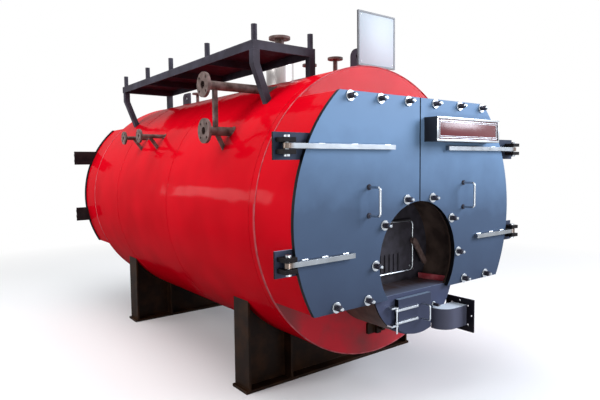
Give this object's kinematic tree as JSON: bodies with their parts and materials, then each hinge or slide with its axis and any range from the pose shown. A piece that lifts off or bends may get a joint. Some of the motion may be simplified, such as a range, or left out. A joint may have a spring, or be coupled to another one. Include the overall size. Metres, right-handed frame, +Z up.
{
  "type": "horizontal fire-tube boiler",
  "caption": "Horizontal fire-tube steam boiler on two saddles with hinged front smokebox doors, a furnace mouth with fire and ash doors, flanged nozzles and a side walkway.",
  "frame": {"origin": "on the floor, at the centre of the front saddle's base plate, under the drum's axis", "axes": "+Y along the drum to the rear, +X to the right seen from the front, +Z up"},
  "size_m": [2.23, 4.1075, 2.664],
  "materials": {
    "red_paint": "gloss red enamel on sheet steel",
    "slate_paint": "semi-gloss slate grey-blue enamel",
    "black_paint": "black-brown structural paint",
    "primer": "brown primer on steel",
    "bright_steel": "bright zinc-plated steel",
    "stainless": "polished stainless cladding",
    "furnace_iron": "dark mill-scale iron",
    "tube_steel": "boiler tube steel with light rust",
    "board_white": "white board with a dark frame",
    "sign_black": "black sign case with a maroon panel"
  },
  "bodies": {
    "boiler": {"shell_barrel": "red_paint", "front_tube_plate": "red_paint", "front_lower_plate": "red_paint", "rear_tube_plate": "red_paint", "smoke_tubes": "tube_steel", "furnace_tube": "tube_steel", "front_saddle": "black_paint", "rear_saddle": "black_paint", "front_box_left": "red_paint", "front_box_right": "red_paint", "front_box_top": "red_paint", "front_box_floor": "red_paint", "rear_box_left": "red_paint", "rear_box_right": "red_paint", "rear_box_top": "red_paint", "rear_box_floor": "red_paint", "front_hinge_plates": "slate_paint", "front_hinge_brackets": "black_paint", "front_hinge_pins": "bright_steel", "rear_left_door": "slate_paint", "rear_right_door": "slate_paint", "rear_door_straps": "bright_steel", "rear_hinge_plates": "black_paint", "rear_hinge_brackets": "black_paint", "rear_hinge_pins": "bright_steel", "furnace_casing": "slate_paint", "casing_front_plate": "slate_paint", "dead_plate": "furnace_iron", "fire_plate": "furnace_iron", "fire_door_hinge": "furnace_iron", "ash_hinge": "bright_steel", "air_duct": "slate_paint", "gauge_nozzles": "primer", "feed_nozzles": "primer", "safety_nozzles": "primer", "vent_nozzle": "primer", "steam_outlet": "primer", "steam_collar": "stainless", "lifting_lugs": "black_paint", "data_board": "board_white", "walkway_frame": "black_paint", "walkway_deck": "black_paint", "walkway_posts": "black_paint", "walkway_legs": "black_paint", "handhole_cover": "black_paint"},
    "left_door": {"left_door": "slate_paint", "left_door_straps": "bright_steel", "left_door_handle": "bright_steel"},
    "right_door": {"right_door": "slate_paint", "right_door_straps": "bright_steel", "right_door_handle": "bright_steel", "sign_box": "sign_black"},
    "fire_door": {"fire_door": "furnace_iron", "fire_latch": "primer"},
    "ash_door": {"ash_door": "slate_paint", "ash_straps": "bright_steel", "ash_handle": "bright_steel"}
  },
  "joints": [
    {"name": "left_door_hinge", "type": "hinge", "parent": "boiler", "child": "left_door", "pos_m": [-1.06, -0.916, 1.36], "axis": [0, 0, -1], "range_deg": [0, 110]},
    {"name": "right_door_hinge", "type": "hinge", "parent": "boiler", "child": "right_door", "pos_m": [1.06, -0.916, 1.36], "axis": [0, 0, 1], "range_deg": [0, 110]},
    {"name": "fire_door_hinge", "type": "hinge", "parent": "boiler", "child": "fire_door", "pos_m": [-0.257, -0.63, 0.995], "axis": [0, 0, -1], "range_deg": [0, 90]},
    {"name": "ash_door_hinge", "type": "hinge", "parent": "boiler", "child": "ash_door", "pos_m": [-0.223, -0.909, 0.617], "axis": [0, 0, -1], "range_deg": [0, 110]}
  ]
}
